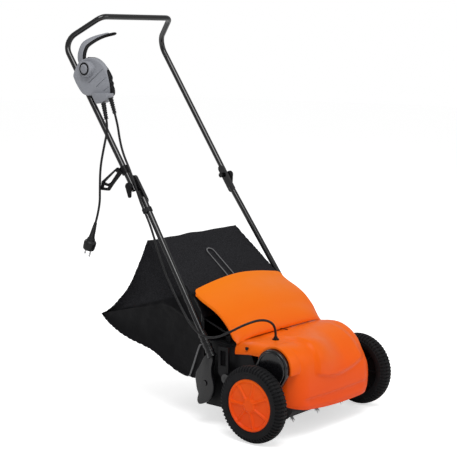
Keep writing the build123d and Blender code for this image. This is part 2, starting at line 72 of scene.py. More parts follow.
def make_studio():
    world = bpy.data.worlds.new("studio")
    bpy.context.scene.world = world
    world.use_nodes = True
    nodes, links = world.node_tree.nodes, world.node_tree.links
    sky, seen = nodes["Background"], nodes.new("ShaderNodeBackground")
    sky.inputs["Color"].default_value = (1, 1, 1, 1)
    sky.inputs["Strength"].default_value = 0.42
    seen.inputs["Color"].default_value = (1, 1, 1, 1)
    seen.inputs["Strength"].default_value = 1.0
    ray, mix = nodes.new("ShaderNodeLightPath"), nodes.new("ShaderNodeMixShader")
    links.new(ray.outputs["Is Camera Ray"], mix.inputs[0])
    links.new(sky.outputs[0], mix.inputs[1])
    links.new(seen.outputs[0], mix.inputs[2])
    links.new(mix.outputs[0], nodes["World Output"].inputs["Surface"])
    bpy.context.scene.view_settings.view_transform = "Standard"
    bpy.ops.mesh.primitive_plane_add(size=30)
    floor = bpy.context.object
    floor.name = "floor"
    paint, nodes, links, shader = new_material("floor_white")
    shader.inputs["Base Color"].default_value = (0.93, 0.93, 0.93, 1)
    shader.inputs["Roughness"].default_value = 0.9
    shader.inputs["Emission Color"].default_value = (1, 1, 1, 1)
    ray, lift = nodes.new("ShaderNodeLightPath"), nodes.new("ShaderNodeMath")
    lift.operation = "MULTIPLY"
    lift.inputs[1].default_value = 0.60
    links.new(ray.outputs["Is Camera Ray"], lift.inputs[0])
    links.new(lift.outputs["Value"], shader.inputs["Emission Strength"])
    floor.data.materials.append(paint)
    middle = (0, -0.1, 0.4)
    area_light("key", (-1.4, -1.4, 3.4), middle, 2.0, 62)
    area_light("fill", (1.4, -3.2, 1.8), middle, 2.5, 22)
    area_light("rim", (0.5, 2.6, 2.4), middle, 1.6, 26)


# ---- materials ----
def new_material(name):
    m = bpy.data.materials.new(name)
    m.use_nodes = True
    nodes, links = m.node_tree.nodes, m.node_tree.links
    return m, nodes, links, nodes["Principled BSDF"]


def object_noise(nodes, links, scale, detail=4.0, stretch=(1, 1, 1)):
    where = nodes.new("ShaderNodeTexCoord")
    turn = nodes.new("ShaderNodeMapping")
    turn.inputs["Scale"].default_value = stretch
    links.new(where.outputs["Object"], turn.inputs["Vector"])
    noise = nodes.new("ShaderNodeTexNoise")
    noise.inputs["Scale"].default_value = scale
    noise.inputs["Detail"].default_value = detail
    links.new(turn.outputs["Vector"], noise.inputs["Vector"])
    return noise


def ramp(nodes, links, source, stops):
    r = nodes.new("ShaderNodeValToRGB")
    r.color_ramp.elements[0].position, r.color_ramp.elements[0].color = stops[0][0], (*stops[0][1], 1)
    r.color_ramp.elements[1].position, r.color_ramp.elements[1].color = stops[-1][0], (*stops[-1][1], 1)
    for at, colour in stops[1:-1]:
        r.color_ramp.elements.new(at).color = (*colour, 1)
    links.new(source, r.inputs["Fac"])
    return r


def bump(nodes, links, shader, height, strength, distance, under=None):
    b = nodes.new("ShaderNodeBump")
    b.inputs["Strength"].default_value = strength
    b.inputs["Distance"].default_value = distance
    links.new(height, b.inputs["Height"])
    if under:
        links.new(under.outputs["Normal"], b.inputs["Normal"])
    links.new(b.outputs["Normal"], shader.inputs["Normal"])
    return b


def mixed(colour, k):
    return tuple(min(1.0, c * k) for c in colour)


def plastic(name, colour, rough, grain=900.0, depth=0.0002, spread=0.12, coat=0.0, patches=6.0, shine=0.3):
    """Moulded plastic or paint: slight colour drift, uneven gloss and a fine grain."""
    m, nodes, links, shader = new_material(name)
    drift = object_noise(nodes, links, patches)
    tint = ramp(nodes, links, drift.outputs["Fac"],
                [(0.3, mixed(colour, 1 - spread)), (0.7, mixed(colour, 1 + spread))])
    links.new(tint.outputs["Color"], shader.inputs["Base Color"])
    smear = object_noise(nodes, links, patches * 7, 6)
    gloss = ramp(nodes, links, smear.outputs["Fac"], [(0.3, (rough * 0.85,) * 3), (0.75, (rough * 1.2,) * 3)])
    links.new(gloss.outputs["Color"], shader.inputs["Roughness"])
    fine = object_noise(nodes, links, grain, 2)
    bump(nodes, links, shader, fine.outputs["Fac"], 0.35, depth)
    shader.inputs["Coat Weight"].default_value = coat
    shader.inputs["Coat Roughness"].default_value = 0.08
    shader.inputs["Specular IOR Level"].default_value = shine
    return m


def orange():
    """The glossy orange moulding with painted light: yellower where it is high, a painted highlight of the lit top,
    and redder low down, painted shade; faintly uneven.
    """
    m, nodes, links, shader = new_material("orange_moulding_painted_light")
    where = nodes.new("ShaderNodeTexCoord")
    axes = nodes.new("ShaderNodeSeparateXYZ")
    links.new(where.outputs["Object"], axes.inputs["Vector"])
    drift = object_noise(nodes, links, 5.0, 3)
    # painted light: height plus a little noise picks the colour, yellower up high as a painted highlight and redder
    # low down as painted shade
    painted_light_level = nodes.new("ShaderNodeMath")
    painted_light_level.operation = "MULTIPLY_ADD"
    links.new(drift.outputs["Fac"], painted_light_level.inputs[0])
    painted_light_level.inputs[1].default_value = 0.10
    links.new(axes.outputs["Z"], painted_light_level.inputs[2])
    tint = ramp(nodes, links, painted_light_level.outputs["Value"],
                [(0.10, (0.90, 0.078, 0.003)), (0.20, (0.92, 0.100, 0.003)), (0.30, (0.94, 0.155, 0.003)),
                 (0.42, (0.95, 0.215, 0.004))])
    links.new(tint.outputs["Color"], shader.inputs["Base Color"])
    smear = object_noise(nodes, links, 26, 6)
    gloss = ramp(nodes, links, smear.outputs["Fac"], [(0.3, (0.30,) * 3), (0.75, (0.42,) * 3)])
    links.new(gloss.outputs["Color"], shader.inputs["Roughness"])
    fine = object_noise(nodes, links, 1400, 2)
    bump(nodes, links, shader, fine.outputs["Fac"], 0.3, 0.0001)
    shader.inputs["Specular IOR Level"].default_value = 0.14
    return m


def metal(name, colour, rough):
    m, nodes, links, shader = new_material(name)
    brushed = object_noise(nodes, links, 60, 5, (12, 1, 1))
    tint = ramp(nodes, links, brushed.outputs["Fac"], [(0.3, mixed(colour, 0.8)), (0.7, mixed(colour, 1.1))])
    links.new(tint.outputs["Color"], shader.inputs["Base Color"])
    gloss = ramp(nodes, links, brushed.outputs["Fac"], [(0.3, (rough * 0.8,) * 3), (0.7, (rough * 1.3,) * 3)])
    links.new(gloss.outputs["Color"], shader.inputs["Roughness"])
    bump(nodes, links, shader, brushed.outputs["Fac"], 0.15, 0.0002)
    shader.inputs["Metallic"].default_value = 1.0
    return m


def cloth(name, woven, plain):
    """Woven fabric above the side seam, smoother and darker below it."""
    m, nodes, links, shader = new_material(name)
    where = nodes.new("ShaderNodeTexCoord")
    height = nodes.new("ShaderNodeVectorMath")
    height.operation = "DOT_PRODUCT"
    height.inputs[1].default_value = (0, 0.298, 1)
    links.new(where.outputs["Object"], height.inputs[0])
    split = nodes.new("ShaderNodeMapRange")
    split.inputs["From Min"].default_value = 0.324
    split.inputs["From Max"].default_value = 0.330
    links.new(height.outputs["Value"], split.inputs["Value"])
    weave = nodes.new("ShaderNodeTexVoronoi")
    weave.inputs["Scale"].default_value = 420
    links.new(where.outputs["Object"], weave.inputs["Vector"])
    flecks = ramp(nodes, links, weave.outputs["Distance"], [(0.1, mixed(woven, 1.5)), (0.6, mixed(woven, 0.55))])
    cloudy = object_noise(nodes, links, 22, 5)
    dark = ramp(nodes, links, cloudy.outputs["Fac"], [(0.3, mixed(plain, 0.75)), (0.7, mixed(plain, 1.25))])
    mix = nodes.new("ShaderNodeMix")
    mix.data_type = "RGBA"
    links.new(split.outputs["Result"], mix.inputs[0])
    links.new(dark.outputs["Color"], mix.inputs[6])
    links.new(flecks.outputs["Color"], mix.inputs[7])
    links.new(mix.outputs[2], shader.inputs["Base Color"])
    gloss = ramp(nodes, links, split.outputs["Result"], [(0.0, (0.5,) * 3), (1.0, (0.85,) * 3)])
    links.new(gloss.outputs["Color"], shader.inputs["Roughness"])
    shader.inputs["Specular IOR Level"].default_value = 0.12
    soft = bump(nodes, links, shader, cloudy.outputs["Fac"], 0.6, 0.004)
    bump(nodes, links, shader, weave.outputs["Distance"], 0.4, 0.0006, soft)
    return m


ORANGE = orange()
BLACK_SHELL = plastic("black_moulding", (0.006, 0.006, 0.007), 0.42, 1500, 0.0003, 0.2, shine=0.18)
BLACK_GLOSS = plastic("black_gloss_moulding", (0.005, 0.005, 0.006), 0.22, 900, 0.0001, 0.15, 0.3, shine=0.4)
BLACK_PAINT = plastic("black_tube_paint", (0.003, 0.003, 0.004), 0.14, 500, 0.00008, 0.15, 0.4, shine=0.5)
RUBBER = plastic("tyre_rubber", (0.008, 0.008, 0.009), 0.6, 1200, 0.0003, 0.25, shine=0.15)
SHEATH = plastic("lead_sheath", (0.010, 0.010, 0.011), 0.40, 800, 0.0001, 0.15, shine=0.3)
GREY = plastic("grey_moulding", (0.29, 0.30, 0.33), 0.40, 2200, 0.0004, 0.08)
DARK_GREY = plastic("dark_grey_moulding", (0.012, 0.012, 0.014), 0.42, 2200, 0.0003, 0.15, shine=0.3)
ZINC = metal("zinc_plate", (0.62, 0.62, 0.63), 0.32)
# light grey for the bag bindings and the carrying loop; on the loop the light grey is a painted highlight along its
# lit edges
PIPING_AND_PAINTED_HIGHLIGHT = plastic("bag_piping_and_painted_highlight", (0.16, 0.16, 0.165), 0.7, 1200, 0.0003, 0.15)
CLOTH = cloth("bag_cloth", (0.022, 0.022, 0.025), (0.0045, 0.0045, 0.0055))

NODE_LOOKS = (
    (BLACK_SHELL, (
        "chassis", "hood_screws", "flap_spring", "belt_cover", "cable_gland", "cable_clip",
        "reel_spacers", "height_lever", "rim_left", "rim_right", "bag_hooks", "microswitch",
        "cable_hook", "joint_knob_left", "joint_knob_right")),
    (ORANGE, (
        "front_hood", "rear_flap", "hub_cap_left", "hub_cap_right")),
    (ZINC, (
        "flap_hinge_pin", "reel_bearing_left", "reel_bearing_right", "roller_axle", "motor_shaft",
        "armature", "motor_pulley", "reel_shaft", "reel_blades", "stub_axle_left", "stub_axle_right",
        "plug_pins")),
    (BLACK_PAINT, (
        "motor_housing", "lower_tube_left", "lower_tube_right", "carrier_arm_left",
        "carrier_arm_right", "bag_frame", "upper_handle_tube")),
    (RUBBER, (
        "drive_belt", "tyre_left", "tyre_right")),
    (DARK_GREY, (
        "handle_bracket_left", "handle_bracket_right", "cooling_fan", "reel_pulley", "rear_roller",
        "switch_box_back", "lock_button")),
    (BLACK_GLOSS, (
        "bracket_bolts", "joint_bolts", "carrier_shaft")),
    (CLOTH, (
        "bag", "bag_strap")),
    (GREY, (
        "switch_box_front", "switch_lever")),
    (SHEATH, (
        "strain_reliefs", "plug")))

for look, names in NODE_LOOKS:
    for node in names:
        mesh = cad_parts[node].data
        mesh.materials.clear()
        mesh.materials.append(look)


# ---- how a piece is made ----
WELD = 0.00005          # points nearer than this become one


def active(piece):
    bpy.ops.object.select_all(action="DESELECT")
    piece.select_set(True)
    bpy.context.view_layer.objects.active = piece


def in_edit(piece, step):
    """Runs one edit-mode step on all of a piece."""
    active(piece)
    bpy.ops.object.mode_set(mode="EDIT")
    bpy.ops.mesh.select_all(action="SELECT")
    step()
    bpy.ops.object.mode_set(mode="OBJECT")


def modify(piece, kind, **settings):
    active(piece)
    m = piece.modifiers.new(kind.lower(), kind)
    for key, value in settings.items():
        setattr(m, key, value)
    bpy.ops.object.modifier_apply(modifier=m.name)


def bevel(piece, width, segments, degrees):
    """Rounds the edges that are sharper than the given angle."""
    modify(piece, "BEVEL", width=width, segments=segments, limit_method="ANGLE", angle_limit=math.radians(degrees))


def outward(piece):
    in_edit(piece, lambda: (bpy.ops.mesh.remove_doubles(threshold=WELD),
                            bpy.ops.mesh.normals_make_consistent(inside=False)))


def capped(piece):
    """Joins a rolled-up grid along its seam and closes its two ends."""
    in_edit(piece, lambda: (bpy.ops.mesh.remove_doubles(threshold=WELD), bpy.ops.mesh.select_all(action="SELECT"),
                            bpy.ops.mesh.fill_holes(sides=0), bpy.ops.mesh.normals_make_consistent(inside=False)))


def smooth(piece, degrees=35):
    active(piece)
    bpy.ops.object.shade_smooth_by_angle(angle=math.radians(degrees))


def place_piece(piece, name, body, look, slot, *nodes):
    piece.name = name
    piece.data.name = name
    piece.data.materials.clear()
    piece.data.materials.append(look)
    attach(piece, body)
    if nodes:
        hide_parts(*nodes)
    return piece


def grid(columns, rows, where):
    """A grid whose vertex (i, j) goes to where(i / columns, j / rows), in metres."""
    bpy.ops.object.select_all(action="DESELECT")
    bpy.ops.mesh.primitive_grid_add(x_subdivisions=columns, y_subdivisions=rows, size=1)
    piece = bpy.context.object
    for v in piece.data.vertices:
        v.co = where(v.co.x + 0.5, v.co.y + 0.5)
    return piece


def curve_through(points):
    """A smooth function of 0..1 through points, by their spacing along the line."""
    at = [0.0]
    for a, b in zip(points, points[1:]):
        at.append(at[-1] + math.dist(a, b))
    at = [x / at[-1] for x in at]

    def where(t):
        t = min(max(t, 0.0), 1.0)
        i = max(k for k in range(len(at) - 1) if at[k] <= t + 1e-9)
        before, after = max(i - 1, 0), min(i + 2, len(points) - 1)
        span = at[i + 1] - at[i]
        u = (t - at[i]) / span

        def slope(a, b):
            return [(q - p) / (at[b] - at[a]) * span for p, q in zip(points[a], points[b])]
        start, end = slope(before, i + 1), slope(i, after)
        h = (2 * u ** 3 - 3 * u ** 2 + 1, u ** 3 - 2 * u ** 2 + u, -2 * u ** 3 + 3 * u ** 2, u ** 3 - u ** 2)
        return tuple(h[0] * p + h[1] * m + h[2] * q + h[3] * n
                     for p, m, q, n in zip(points[i], start, points[i + 1], end))
    return where


def ease(x, low, high):
    """0 below low, 1 above high, smooth between; low may be the greater."""
    t = min(max((x - low) / (high - low), 0.0), 1.0)
    return t * t * (3 - 2 * t)


def cutter(outline, x0, x1):
    """A closed prism along X over an outline of (Y, Z) points, in metres."""
    bpy.ops.object.select_all(action="DESELECT")
    bpy.ops.mesh.primitive_circle_add(vertices=len(outline), radius=1, fill_type="NGON")
    piece = bpy.context.object
    for v, (y, z) in zip(piece.data.vertices, outline):
        v.co = (x0, y, z)
    in_edit(piece, lambda: bpy.ops.mesh.extrude_region_move(TRANSFORM_OT_translate={"value": (x1 - x0, 0, 0)}))
    outward(piece)
    return piece


def cylinder(centre, r, x0, x1, sides=64):
    bpy.ops.object.select_all(action="DESELECT")
    bpy.ops.mesh.primitive_cylinder_add(vertices=sides, radius=r, depth=abs(x1 - x0), rotation=(0, math.pi / 2, 0),
                                        location=((x0 + x1) / 2, *centre))
    piece = bpy.context.object
    bpy.ops.object.transform_apply(location=True, rotation=True, scale=True)
    return piece


def cut(piece, tool, operation="DIFFERENCE"):
    modify(piece, "BOOLEAN", operation=operation, object=tool, solver="EXACT")
    bpy.data.objects.remove(tool)


def joined(pieces):
    bpy.ops.object.select_all(action="DESELECT")
    for piece in pieces:
        piece.select_set(True)
    bpy.context.view_layer.objects.active = pieces[0]
    bpy.ops.object.join()
    return bpy.context.object


def turned(path, radii, sides=32, rows=64):
    """A round body along a line: path(t) is its axis, radii(t) its radius."""
    first = Vector(path(0.0))
    ahead = (Vector(path(1.0)) - first).normalized()
    u = ahead.cross(Vector((1, 0, 0))).normalized()
    w = ahead.cross(u)

    def where(around, along):
        a = around * 2 * math.pi
        return Vector(path(along)) + (u * math.cos(a) + w * math.sin(a)) * radii(along)
    piece = grid(sides, rows, where)
    capped(piece)
    smooth(piece, 40)
    return piece


# ---- leads ----
MAINS_ROUTE = [
    (-.210, .2259, .7948), (-.213, .2171, .7707), (-.215, .230, .722), (-.2155, .246, .664), (-.215, .250, .606),
    (-.212, .2538, .5516), (-.212, .2719, .5053)]
LEAD_UPPER_ROUTE = [
    (-.200, .2029, .8098), (-.1972, .1954, .7811), (-.1965, .189, .740), (-.1965, .176, .701), (-.1975, .152, .662),
    (-.200, .132, .627), (-.1995, .119, .597), (-.1963, .1094, .569), (-.19748, .0972, .5513)]
LEAD_LOOP_ROUTE = [
    (-.1975, .097, .551), (-.1995, .0764, .521), (-.203, .056, .482), (-.207, .032, .436), (-.210, .006, .388),
    (-.213, -.026, .343), (-.218, -.060, .303), (-.224, -.096, .267), (-.229, -.140, .246), (-.229, -.186, .250),
    (-.224, -.226, .270), (-.204, -.260, .292), (-.170, -.282, .302), (-.140, -.292, .294), (-.120, -.294, .274),
    (-.120, -.294, .251)]
LEAD_D = 0.0064


def lead(name, route):
    data = bpy.data.curves.new(name, "CURVE")
    data.dimensions = "3D"
    data.bevel_depth = LEAD_D / 2
    data.bevel_resolution = 5
    data.resolution_u = 8
    data.use_fill_caps = True
    line = data.splines.new("NURBS")
    line.points.add(len(route) - 1)
    for point, place in zip(line.points, route):
        point.co = (*place, 1)
    line.order_u = 3
    line.use_endpoint_u = True
    piece = bpy.data.objects.new(name, data)
    bpy.context.scene.collection.objects.link(piece)
    data.materials.append(SHEATH)
    return piece


def centre_line(piece):
    """The points of a lead's own smooth line, read with no thickness."""
    thick = piece.data.bevel_depth
    piece.data.bevel_depth = 0
    line = bpy.data.meshes.new_from_object(piece)
    piece.data.bevel_depth = thick
    points = [tuple(v.co) for v in line.vertices]
    bpy.data.meshes.remove(line)
    return points


def as_mesh(piece):
    active(piece)
    bpy.ops.object.convert(target="MESH")
    return bpy.context.object


def make_leads():
    mains = lead("mains_lead", MAINS_ROUTE)
    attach(mains, "upper_handle")
    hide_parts("mains_cord")
    upper = lead("switch_lead", LEAD_UPPER_ROUTE)
    path = centre_line(upper)
    upper = as_mesh(upper)
    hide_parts("motor_lead_upper")
    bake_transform(upper)
    loop = lead("motor_lead", LEAD_LOOP_ROUTE)
    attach(loop, "chassis")
    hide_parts("motor_lead_loop")


# ---- front hood ----
MOTOR = (-0.344, 0.190)
REEL = (-0.285, 0.084)
HOOD_HALF = 0.190
HOOD_LINE = curve_through([
    (-.212, .2365), (-.240, .240), (-.262, .243), (-.290, .2424), (-.313, .235), (-.337, .223), (-.360, .207),
    (-.379, .185), (-.393, .1665), (-.402, .1465), (-.4055, .120), (-.405, .095), (-.403, .075), (-.399, .060)])
HOOD_MOTOR_LINE = curve_through([
    (-.212, .2365), (-.240, .240), (-.262, .2425), (-.292, .2425), (-.322, .2420), (-.352, .2415), (-.376, .236),
    (-.394, .219), (-.4025, .196), (-.4045, .165), (-.4055, .120), (-.405, .095), (-.403, .075), (-.399, .060)])


def hood_line(x, along):
    """The hood's long profile at one X: fuller over the motor, sloping away from it."""
    full = 1 - ease(x, -0.075, 0.055)
    return [a + (b - a) * full for a, b in zip(HOOD_LINE(along), HOOD_MOTOR_LINE(along))]


def hood_point(across, along):
    roll = 0.032 + 0.038 * ease(along, 0.30, 0.70)
    flat = HOOD_HALF - roll
    side = 2 * across - 1
    # even steps along the flat middle and the quarter turns at the ends
    run = abs(side) * (flat + roll * math.pi / 2)
    if run < flat:
        x, drop = run, 0.0
    else:
        a = (run - flat) / roll
        x, drop = flat + roll * math.sin(a), roll * (1 - math.cos(a))
    x = math.copysign(x, side)
    y, z = hood_line(x, along)
    y2, z2 = hood_line(x, min(along + 0.01, 1.0))
    y1, z1 = hood_line(x, max(along - 0.01, 0.0))
    size = math.hypot(y2 - y1, z2 - z1)
    ny, nz = (z2 - z1) / size, (y1 - y2) / size     # outward from the shell
    proud = hood_boss(x, y, z) - drop
    y, z = y + ny * proud, z + nz * proud
    if z < 0.120:
        low = 0.063 + 0.40 * (x - 0.060) ** 2
        z = low + (z - 0.060) * (0.120 - low) / 0.060
    return (x, y, z)


def hood_boss(x, y, z):
    """How far the moulded swell stands out of the hood's front."""
    floor_at = 0.150 + (2.2 if x < 0 else 1.2) * x * x
    sides = ease(x, -0.100, -0.084) * (1 - ease(x, 0.112, 0.146))
    front = ease(z, floor_at - 0.010, floor_at + 0.002)
    back = 1 - 0.85 * ease(y, -0.340, -0.262)
    swell = 0.009 * sides * front * back
    lip = -0.004 * ease(z, 0.106, 0.097) * ease(x, -0.150, -0.110) * (1 - ease(x, 0.12, 0.16))
    return swell + lip * (1 - ease(z, 0.094, 0.070))


def make_hood():
    shell = grid(150, 130, hood_point)
    outward(shell)
    modify(shell, "SOLIDIFY", thickness=0.003, offset=-1)
    outward(shell)
    collar = cylinder(MOTOR, 0.0545, -.1885, -.120)
    cut(collar, cutter([(-.45, .176), (-.45, .30), (-.25, .30), (-.25, .176)], -.25, 0), "INTERSECT")
    cut(collar, cylinder(MOTOR, 0.0490, -.25, -.147))
    hood = joined([shell, collar])
    bevel(hood, 0.0007, 2, 50)
    smooth(hood, 40)
    place_piece(hood, "hood", "chassis", ORANGE, "orange_shell", "front_hood")


# ---- rear flap ----
FLAP_HALF = 0.184
FLAP_SIDE = curve_through([
    (-.2190, .2305), (-.2100, .240), (-.2010, .253), (-.1910, .2695), (-.1800, .282), (-.1600, .3005),
    (-.1350, .316), (-.1020, .331), (-.0840, .341), (-.0690, .353)])
FLAP_MIDDLE = curve_through([
    (-.2290, .2432), (-.2280, .252), (-.2180, .267), (-.2010, .284), (-.1825, .300), (-.1600, .320),
    (-.1350, .336), (-.1030, .352), (-.0840, .362), (-.0670, .3745)])


def flap_point(across, along):
    """An arched shell with a narrow lip turned down along both sides."""
    side = abs(2 * across - 1)
    at = min(side / 0.95, 1.0)
    lip = max(0.0, side - 0.95) / 0.05
    arch = 1 - at ** (7.0 - 5.3 * ease(along, 0.0, 0.35))
    (y, z), (my, mz) = FLAP_SIDE(along), FLAP_MIDDLE(along)
    x = (FLAP_HALF - 0.001) * at + 0.001 * math.sin(lip * math.pi / 2)
    back = 0.010 * ease(side, 0.90, 1.0) * ease(along, 0.93, 1.0)
    drop = 0.008 * lip * ease(along, 0.0, 0.15)
    return (math.copysign(x, 2 * across - 1), y + (my - y) * arch - back, z + (mz - z) * arch - drop - back * 0.7)


def make_flap():
    flap = grid(110, 70, flap_point)
    outward(flap)
    modify(flap, "SOLIDIFY", thickness=0.003, offset=-1)
    bevel(flap, 0.001, 2, 50)
    smooth(flap, 40)
    place_piece(flap, "flap", "rear_flap", ORANGE, "orange_shell", "rear_flap")


# ---- collector bag ----
BAG_HALF = 0.186
BAG_COLUMNS = 100
PIPING_RISE = 0.0022
BAG_BACK = curve_through([
    (.282, .242), (.247, .260), (.212, .290), (.171, .334), (.144, .378), (.117, .429), (.098, .470)])
BAG_LID = curve_through([(.098, .470), (-.070, .338), (-.096, .302), (-.104, .285)])
BAG_SEAM = curve_through([(.282, .242), (.187, .267), (.090, .289), (.034, .302), (-.104, .250)])
BAG_BOTTOM = curve_through([
    (.282, .242), (.265, .228), (.220, .203), (.173, .187), (.094, .170), (.068, .160), (.030, .140),
    (-.008, .125), (-.046, .117), (-.104, .119)])


def bag_top(t):
    """Along the back of the bag and over its top: the corner sits on a grid line."""
    return BAG_BACK(t / 0.5) if t < 0.5 else BAG_LID((t - 0.5) / 0.5)


def hump(t):
    """0 at both ends of 0..1, 1 in the middle."""
    return math.sin(math.pi * min(max(t, 0.0), 1.0))


def folds(x, y, z, size, seed):
    """Smooth uneven waves over the cloth, about -1 to 1."""
    return noise.noise(Vector((x, y, z)) * size + Vector((seed, 0, 0)))


def bag_panel(side):
    """One side of the bag, hollow between its edges and the seam across it."""
    def where(across, along):
        v = 2 * along - 1
        edge = bag_top(across) if v > 0 else BAG_BOTTOM(across)
        seam = BAG_SEAM(across)
        y, z = [a + (b - a) * abs(v) for a, b in zip(seam, edge)]
        inside = hump(across) ** 0.6
        depth = 0.020 if v > 0 else 0.007
        sag = inside * (0.004 * (1 - abs(v)) + depth * hump(abs(v)))
        wrinkle = folds(0.0, y + 0.55 * z, z * 0.35 - y * 0.2, 26, side * 7) * 0.0055
        wrinkle += folds(y, z, 0, 60, side) * 0.0016
        wrinkle *= inside * (1 - abs(v) ** 6) * (1.0 if v > 0 else 0.45)
        piping = PIPING_RISE * ease(abs(v), 0.955, 0.985) + 0.0014 * (1 - ease(abs(v), 0.0, 0.035))
        return (side * (BAG_HALF - sag - wrinkle + piping - PIPING_RISE), y, z)
    return grid(BAG_COLUMNS, 72, where)


def bag_skirt(kind):
    """The top and back (kind 1) or the bottom (kind 0), from side to side."""
    def where(across, along):
        side = 2 * along - 1
        y, z = bag_top(across) if kind else BAG_BOTTOM(across)
        inside = 1 - abs(side) ** 4
        slack = hump(across)
        if kind:
            lift = folds(side * 0.18, y, z, 16, 3) * 0.004 * inside * slack
            z += lift
            if across < 0.5:
                y -= inside * 0.012 * math.sin(2 * math.pi * across) + lift
            else:
                z -= inside * 0.004 * math.sin(math.pi * (2 * across - 1))
        else:
            z += (folds(side * 0.18, y, z, 14, 5) * 0.005 - 0.002) * inside * slack
        edge = ease(abs(side), 0.975, 0.992)
        z += 0.0016 * edge * (1 if kind else -1) * min(1.0, slack * 4)
        return (side * BAG_HALF, y, z)
    return grid(BAG_COLUMNS, 96, where)


def make_bag():
    bag = joined([bag_panel(1), bag_panel(-1), bag_skirt(1), bag_skirt(0)])
    in_edit(bag, lambda: (bpy.ops.mesh.remove_doubles(threshold=0.0022),
                          bpy.ops.mesh.normals_make_consistent(inside=False)))
    modify(bag, "SOLIDIFY", thickness=0.0016, offset=-1)
    smooth(bag, 60)
    place_piece(bag, "bag", "bag", CLOTH, "bag_cloth", "bag")


def ribbon(path, half, steps, thick=0.0012):
    """A flat band along path(t), half gives the band's half width vector at t."""
    piece = grid(steps, 1, lambda t, v: Vector(path(t)) + (2 * v - 1) * Vector(half(t)))
    outward(piece)
    modify(piece, "SOLIDIFY", thickness=thick, offset=0)
    smooth(piece, 40)
    return piece


def make_bag_strap():
    """The bag's carrying loop: a narrow band that runs up the top, turns round and comes back; the band is the loop's
    lit edge, drawn light grey as a painted highlight.
    """
    slope = Vector((0, 0.786, 0.618))
    start = Vector((0.004, -0.066, 0.3425))

    def place(t):
        run, turn = 0.128, 0.0135
        whole = 2 * run + math.pi * turn
        s = t * whole
        if s < run:
            return -turn, s
        if s < run + math.pi * turn:
            a = (s - run) / turn
            return -turn * math.cos(a), run + turn * math.sin(a)
        return turn, whole - s

    def path(t):
        x, s = place(t)
        return start + slope * s + Vector((x, 0, 0)) + Vector((0, -0.618, 0.786)) * 0.0008

    def half(t):
        ahead = path(min(t + 0.002, 1.0)) - path(max(t - 0.002, 0.0))
        return ahead.normalized().cross(Vector((0, -0.618, 0.786))) * 0.0016
    # the loop's light grey bands are a painted highlight of its lit edges
    strap = ribbon(path, half, 90)
    place_piece(strap, "bag_strap", "bag", PIPING_AND_PAINTED_HIGHLIGHT, "bag_cloth", "bag_strap")


def make_bag_binding(name, x):
    path = curve_through([(x, -.100, .212), (x, -.092, .209), (x, -.056, .121), (x, -.050, .118)])
    band = ribbon(path, lambda t: (0, 0.0022, 0.0010), 20)
    place_piece(band, name, "bag", PIPING_AND_PAINTED_HIGHLIGHT, "bag_cloth")


# ---- wheels ----
HUB = (-0.314, 0.100)
TYRE_SECTION = curve_through([
    (.2530, .0690), (.2558, .0730), (.2568, .0800), (.2556, .0860), (.2520, .0935), (.2450, .0982), (.2345, .0995),
    (.2240, .0982), (.2170, .0935), (.2134, .0860), (.2122, .0800), (.2132, .0730), (.2160, .0690)])
RIBS = 62
TYRE_MIDDLE = 0.2345
PETALS = 7
CAP_R = 0.0675


def tyre_point(side):
    """A tyre with cross grooves on its shoulders and two rows of small pits in the tread."""
    def where(around, across):
        x, r = TYRE_SECTION(across)
        turn = around * RIBS
        step = turn - math.floor(turn)
        wave = ease(abs(step - 0.5), 0.18, 0.30)          # 1 in the groove between two blocks
        from_middle = abs(x - TYRE_MIDDLE)
        wall = ease(r, 0.0850, 0.0875) * ease(from_middle, 0.0085, 0.0100)
        depth = 0.0030 * wave * wall
        half_step = (turn + 0.5) - math.floor(turn + 0.5)
        row = ease(abs(from_middle - 0.0052), 0.0034, 0.0020)
        pit = ease(abs(half_step - 0.5), 0.20, 0.10) * row * (r > 0.095)
        depth = max(depth, 0.0032 * pit)
        lip = 0.0012 * ease(abs(r - 0.0855), 0.0016, 0.0006) * (r < 0.088)
        nx = (x - TYRE_MIDDLE) / 0.030
        nr = math.sqrt(max(0.0, 1 - nx * nx))
        x -= depth * nx - lip * math.copysign(1, x - TYRE_MIDDLE)
        r -= depth * max(nr, 0.5)
        a = around * 2 * math.pi
        return (side * x, HUB[0] + r * math.cos(a), HUB[1] + r * math.sin(a))
    return where


def make_tyre(name, side):
    tyre = grid(RIBS * 10, 64, tyre_point(side))
    outward(tyre)
    smooth(tyre, 50)
    place_piece(tyre, f"tyre_{name}", f"wheel_{name}", RUBBER, "tyre", f"tyre_{name}")


def cap_point(side):
    """A shallow dish with wedge-shaped petals pressed inward, ribs left standing between them."""
    def where(around, out):
        a = around * 2 * math.pi
        r = CAP_R * out
        step = around * PETALS - math.floor(around * PETALS)
        half_wide = math.pi / PETALS * r
        from_line = abs(step - 0.5) * 2 * math.pi / PETALS * max(r, 0.004)      # arc from the petal's middle
        petal = ease(from_line, half_wide - 0.0005, half_wide - 0.0050) if r > 0.012 else 0.0
        petal *= ease(r, 0.014, 0.022) * (1 - ease(r, 0.0585, 0.0620))
        x = 0.2535 + 0.0020 * (1 - ease(r, 0.0, 0.067)) - 0.0045 * petal
        x -= 0.0016 * ease(r, 0.0650, CAP_R)
        return (side * x, HUB[0] + r * math.cos(a), HUB[1] + r * math.sin(a))
    return where


def make_cap(name, side):
    cap = grid(196, 60, cap_point(side))
    outward(cap)
    modify(cap, "SOLIDIFY", thickness=0.0018, offset=-1)
    smooth(cap, 40)
    place_piece(cap, f"hub_cap_{name}", f"wheel_{name}", ORANGE, "orange_shell", f"hub_cap_{name}")


